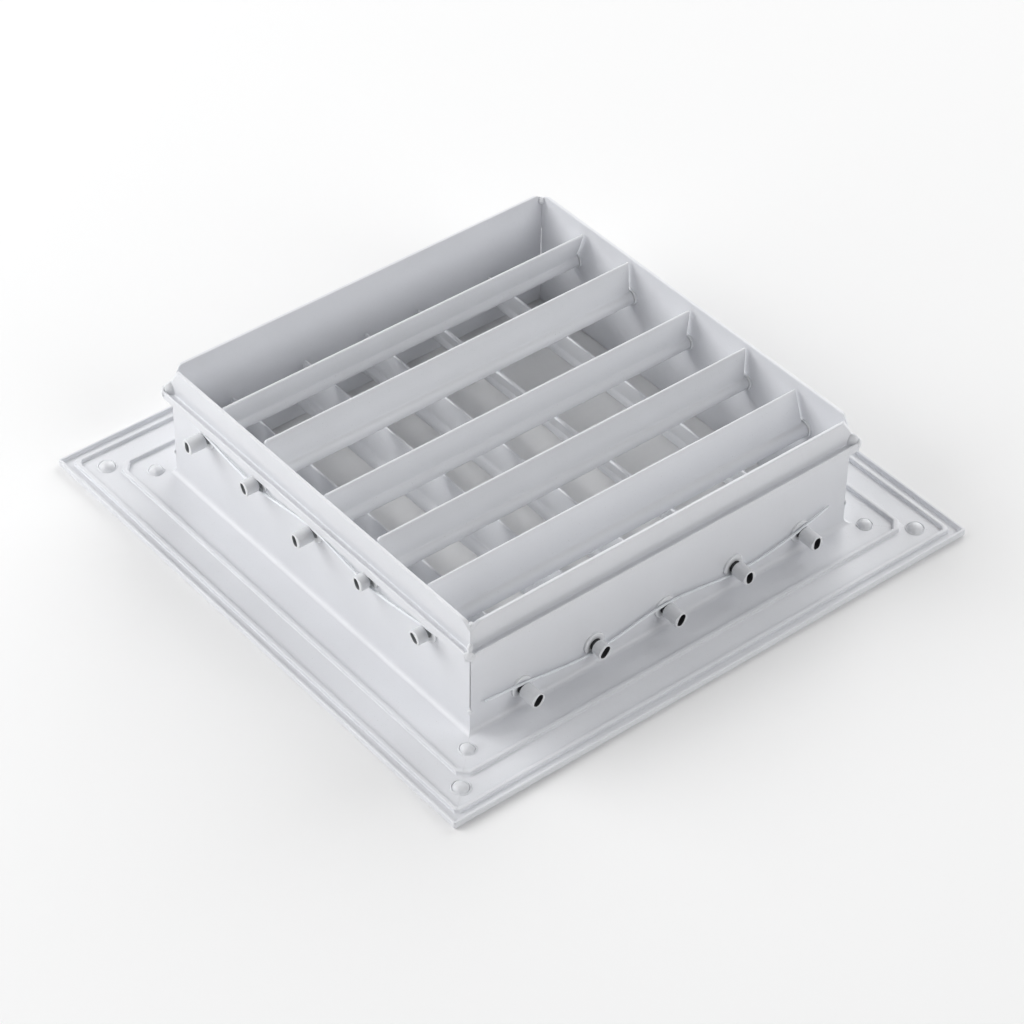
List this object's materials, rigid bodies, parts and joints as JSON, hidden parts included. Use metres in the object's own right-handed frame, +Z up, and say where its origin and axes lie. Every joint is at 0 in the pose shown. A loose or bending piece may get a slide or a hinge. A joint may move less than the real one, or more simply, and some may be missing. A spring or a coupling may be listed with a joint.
{
  "type": "double deflection air grille",
  "caption": "Square louvred supply-air grille: flanged neck with damper ledge and two crossed rows of adjustable blades on pins held by woven spring wires.",
  "frame": {"origin": "centre of the grille on the plane of its room-side face", "axes": "+Z up the neck towards the duct, +X across the front-row blades towards the right side, +Y along the front-row blades towards the back side"},
  "size_m": [0.2056, 0.2056, 0.0443],
  "materials": {
    "white_powder_coat": "semi-gloss powder coat on extruded aluminium",
    "coated_weld": "powder coat over ground welds",
    "white_nylon": "moulded nylon, glossy",
    "white_plastic_pin": "moulded nylon, satin",
    "spring_wire": "bright drawn spring steel"
  },
  "bodies": {
    "frame": {"frame_side_front": "white_powder_coat", "frame_side_right": "white_powder_coat", "frame_side_back": "white_powder_coat", "frame_side_left": "white_powder_coat", "bushes_front": "white_nylon", "bushes_right": "white_nylon", "bushes_back": "white_nylon", "bushes_left": "white_nylon", "friction_wire_front": "spring_wire", "friction_wire_right": "spring_wire", "friction_wire_back": "spring_wire", "friction_wire_left": "spring_wire", "weld_domes_outer": "coated_weld", "weld_domes_inner": "coated_weld", "weld_beads_hook": "coated_weld", "weld_beads_rim": "coated_weld", "weld_tacks_seam": "coated_weld"},
    "front_blade_set_1": {"front_blade_1": "white_powder_coat", "front_pin_1_near": "white_plastic_pin", "front_pin_1_far": "white_plastic_pin"},
    "front_blade_set_2": {"front_blade_2": "white_powder_coat", "front_pin_2_near": "white_plastic_pin", "front_pin_2_far": "white_plastic_pin"},
    "front_blade_set_3": {"front_blade_3": "white_powder_coat", "front_pin_3_near": "white_plastic_pin", "front_pin_3_far": "white_plastic_pin"},
    "front_blade_set_4": {"front_blade_4": "white_powder_coat", "front_pin_4_near": "white_plastic_pin", "front_pin_4_far": "white_plastic_pin"},
    "front_blade_set_5": {"front_blade_5": "white_powder_coat", "front_pin_5_near": "white_plastic_pin", "front_pin_5_far": "white_plastic_pin"},
    "rear_blade_set_1": {"rear_blade_1": "white_powder_coat", "rear_pin_1_near": "white_plastic_pin", "rear_pin_1_far": "white_plastic_pin"},
    "rear_blade_set_2": {"rear_blade_2": "white_powder_coat", "rear_pin_2_near": "white_plastic_pin", "rear_pin_2_far": "white_plastic_pin"},
    "rear_blade_set_3": {"rear_blade_3": "white_powder_coat", "rear_pin_3_near": "white_plastic_pin", "rear_pin_3_far": "white_plastic_pin"},
    "rear_blade_set_4": {"rear_blade_4": "white_powder_coat", "rear_pin_4_near": "white_plastic_pin", "rear_pin_4_far": "white_plastic_pin"},
    "rear_blade_set_5": {"rear_blade_5": "white_powder_coat", "rear_pin_5_near": "white_plastic_pin", "rear_pin_5_far": "white_plastic_pin"}
  },
  "joints": [
    {"name": "front_blade_1_pivot", "type": "hinge", "parent": "frame", "child": "front_blade_set_1", "pos_m": [-0.056, 0, 0.0088], "axis": [0, 1, 0], "range_deg": [-68, 52]},
    {"name": "front_blade_2_pivot", "type": "hinge", "parent": "frame", "child": "front_blade_set_2", "pos_m": [-0.028, 0, 0.01], "axis": [0, 1, 0], "range_deg": [-71, 49]},
    {"name": "front_blade_3_pivot", "type": "hinge", "parent": "frame", "child": "front_blade_set_3", "pos_m": [0, 0, 0.0088], "axis": [0, 1, 0], "range_deg": [-57, 63]},
    {"name": "front_blade_4_pivot", "type": "hinge", "parent": "frame", "child": "front_blade_set_4", "pos_m": [0.028, 0, 0.01], "axis": [0, 1, 0], "range_deg": [-29, 91]},
    {"name": "front_blade_5_pivot", "type": "hinge", "parent": "frame", "child": "front_blade_set_5", "pos_m": [0.056, 0, 0.0088], "axis": [0, 1, 0], "range_deg": [-37, 83]},
    {"name": "rear_blade_1_pivot", "type": "hinge", "parent": "frame", "child": "rear_blade_set_1", "pos_m": [0, 0.056, 0.0284], "axis": [1, 0, 0], "range_deg": [-80, 40]},
    {"name": "rear_blade_2_pivot", "type": "hinge", "parent": "frame", "child": "rear_blade_set_2", "pos_m": [0, 0.028, 0.0296], "axis": [1, 0, 0], "range_deg": [-57.5, 62.5]},
    {"name": "rear_blade_3_pivot", "type": "hinge", "parent": "frame", "child": "rear_blade_set_3", "pos_m": [0, 0, 0.0284], "axis": [1, 0, 0], "range_deg": [-67, 53]},
    {"name": "rear_blade_4_pivot", "type": "hinge", "parent": "frame", "child": "rear_blade_set_4", "pos_m": [0, -0.028, 0.0296], "axis": [1, 0, 0], "range_deg": [-61, 59]},
    {"name": "rear_blade_5_pivot", "type": "hinge", "parent": "frame", "child": "rear_blade_set_5", "pos_m": [0, -0.056, 0.0284], "axis": [1, 0, 0], "range_deg": [-41.5, 78.5]}
  ]
}
